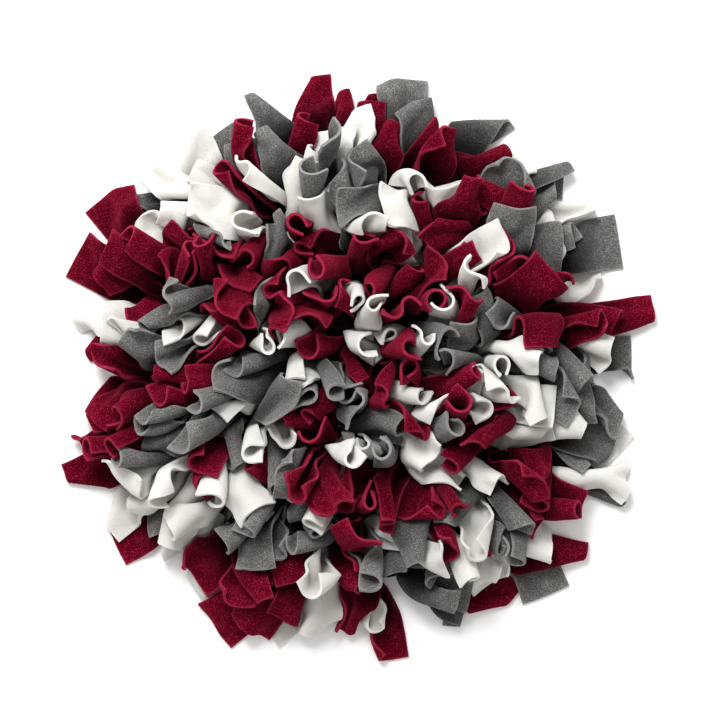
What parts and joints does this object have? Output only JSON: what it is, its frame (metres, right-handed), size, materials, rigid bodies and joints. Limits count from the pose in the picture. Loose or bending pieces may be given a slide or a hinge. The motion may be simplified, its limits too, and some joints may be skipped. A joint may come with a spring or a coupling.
{
  "type": "snuffle mat",
  "caption": "Round snuffle mat: cupped, folded and rolled fleece strip tabs stand in rings on a flat round backing, spreading to a lying rim.",
  "frame": {"origin": "centre of the round backing's underside, on the surface the mat lies on", "axes": "+Z up out of the backing, through the tabs; +X to the right and +Y up in the picture, which looks straight down"},
  "size_m": [0.3964, 0.3993, 0.0759],
  "materials": {
    "fleece_burgundy": "fuzzy brushed fleece, matt, deep burgundy red",
    "fleece_grey": "fuzzy brushed fleece, matt, heathered mid grey",
    "fleece_white": "fuzzy brushed fleece, matt, ivory white",
    "backing_sheet": "dense matt felt, near black"
  },
  "bodies": {
    "root": {"backing": "backing_sheet", "burgundy_01": "fleece_burgundy", "burgundy_02": "fleece_burgundy", "burgundy_03": "fleece_burgundy", "burgundy_04": "fleece_burgundy", "burgundy_05": "fleece_burgundy", "burgundy_06": "fleece_burgundy", "burgundy_07": "fleece_burgundy", "burgundy_08": "fleece_burgundy", "burgundy_09": "fleece_burgundy", "burgundy_10": "fleece_burgundy", "burgundy_11": "fleece_burgundy", "burgundy_12": "fleece_burgundy", "burgundy_13": "fleece_burgundy", "burgundy_14": "fleece_burgundy", "burgundy_15": "fleece_burgundy", "burgundy_16": "fleece_burgundy", "burgundy_17": "fleece_burgundy", "burgundy_18": "fleece_burgundy", "grey_01": "fleece_grey", "grey_02": "fleece_grey", "grey_03": "fleece_grey", "grey_04": "fleece_grey", "grey_05": "fleece_grey", "grey_06": "fleece_grey", "grey_07": "fleece_grey", "grey_08": "fleece_grey", "grey_09": "fleece_grey", "grey_10": "fleece_grey", "grey_11": "fleece_grey", "grey_12": "fleece_grey", "grey_13": "fleece_grey", "grey_14": "fleece_grey", "grey_15": "fleece_grey", "grey_16": "fleece_grey", "grey_17": "fleece_grey", "white_01": "fleece_white", "white_02": "fleece_white", "white_03": "fleece_white", "white_04": "fleece_white", "white_05": "fleece_white", "white_06": "fleece_white", "white_07": "fleece_white", "white_08": "fleece_white", "white_09": "fleece_white", "white_10": "fleece_white", "white_11": "fleece_white", "white_12": "fleece_white", "white_13": "fleece_white", "white_14": "fleece_white", "white_15": "fleece_white", "white_16": "fleece_white", "white_17": "fleece_white", "white_18": "fleece_white", "white_19": "fleece_white", "white_20": "fleece_white", "white_21": "fleece_white", "white_22": "fleece_white", "white_23": "fleece_white", "white_24": "fleece_white"}
  },
  "joints": []
}
